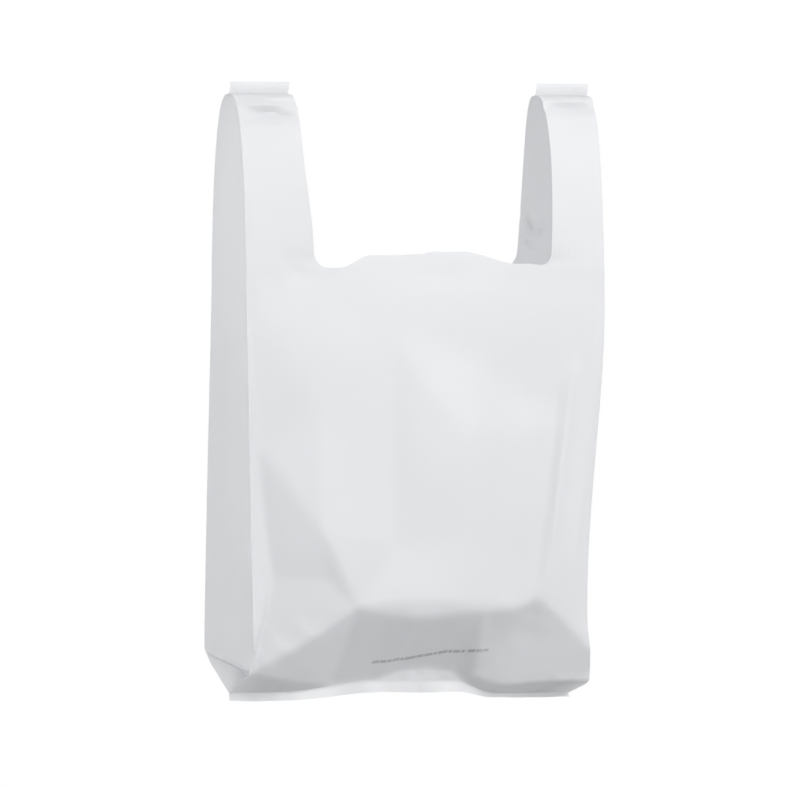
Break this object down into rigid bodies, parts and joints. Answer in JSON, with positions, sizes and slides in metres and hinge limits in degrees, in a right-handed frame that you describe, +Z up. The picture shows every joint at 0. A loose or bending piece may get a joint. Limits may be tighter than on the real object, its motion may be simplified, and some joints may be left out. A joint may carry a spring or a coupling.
{
  "type": "plastic carrier bag",
  "caption": "Gusseted vest carrier bag of thin white film, hanging open, with die-cut strap handles sealed at their tops and a seal along the bottom.",
  "frame": {"origin": "where the hand or hook carries the bag: midway between the tops of the handles", "axes": "+Z up along the handles, +Y to the back, +X to the right"},
  "size_m": [0.2991, 0.1144, 0.472],
  "materials": {
    "film": "satin thin film, faintly see-through, white"
  },
  "bodies": {
    "root": {"carrier_bag": "film"}
  },
  "joints": []
}
